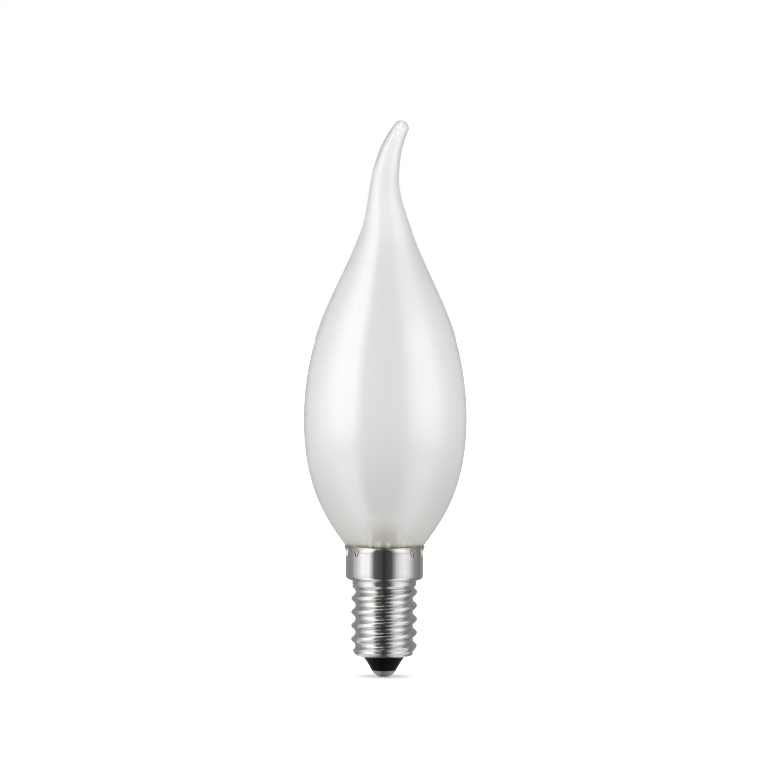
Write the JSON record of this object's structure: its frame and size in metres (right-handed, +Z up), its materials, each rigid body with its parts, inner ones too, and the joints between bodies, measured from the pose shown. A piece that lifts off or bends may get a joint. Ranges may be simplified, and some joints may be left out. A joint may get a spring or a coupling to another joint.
{
  "type": "candle light bulb",
  "caption": "Frosted flame-shaped candle bulb with a drawn-out clear glass tip bent to one side, on a nickel-plated screw cap with a round thread, black insulator and domed contact.",
  "frame": {"origin": "on the bulb's axis, at the middle of the contact's flat underside", "axes": "+Z up the axis from the contact to the tip, +X the side that the tip bends over to, +Y to the back of the view in the picture"},
  "size_m": [0.034, 0.034, 0.1159],
  "materials": {
    "frosted_glass": "satin frosted, white, clear towards the bent tip",
    "cement": "matt, yellowish",
    "plated_shell": "bright nickel plating",
    "black_glass": "glossy, opaque black",
    "contact_metal": "satin grey metal"
  },
  "bodies": {
    "root": {"glass_envelope": "frosted_glass", "basing_cement": "cement", "screw_shell": "plated_shell", "cap_insulator": "black_glass", "centre_contact": "contact_metal"}
  },
  "joints": []
}
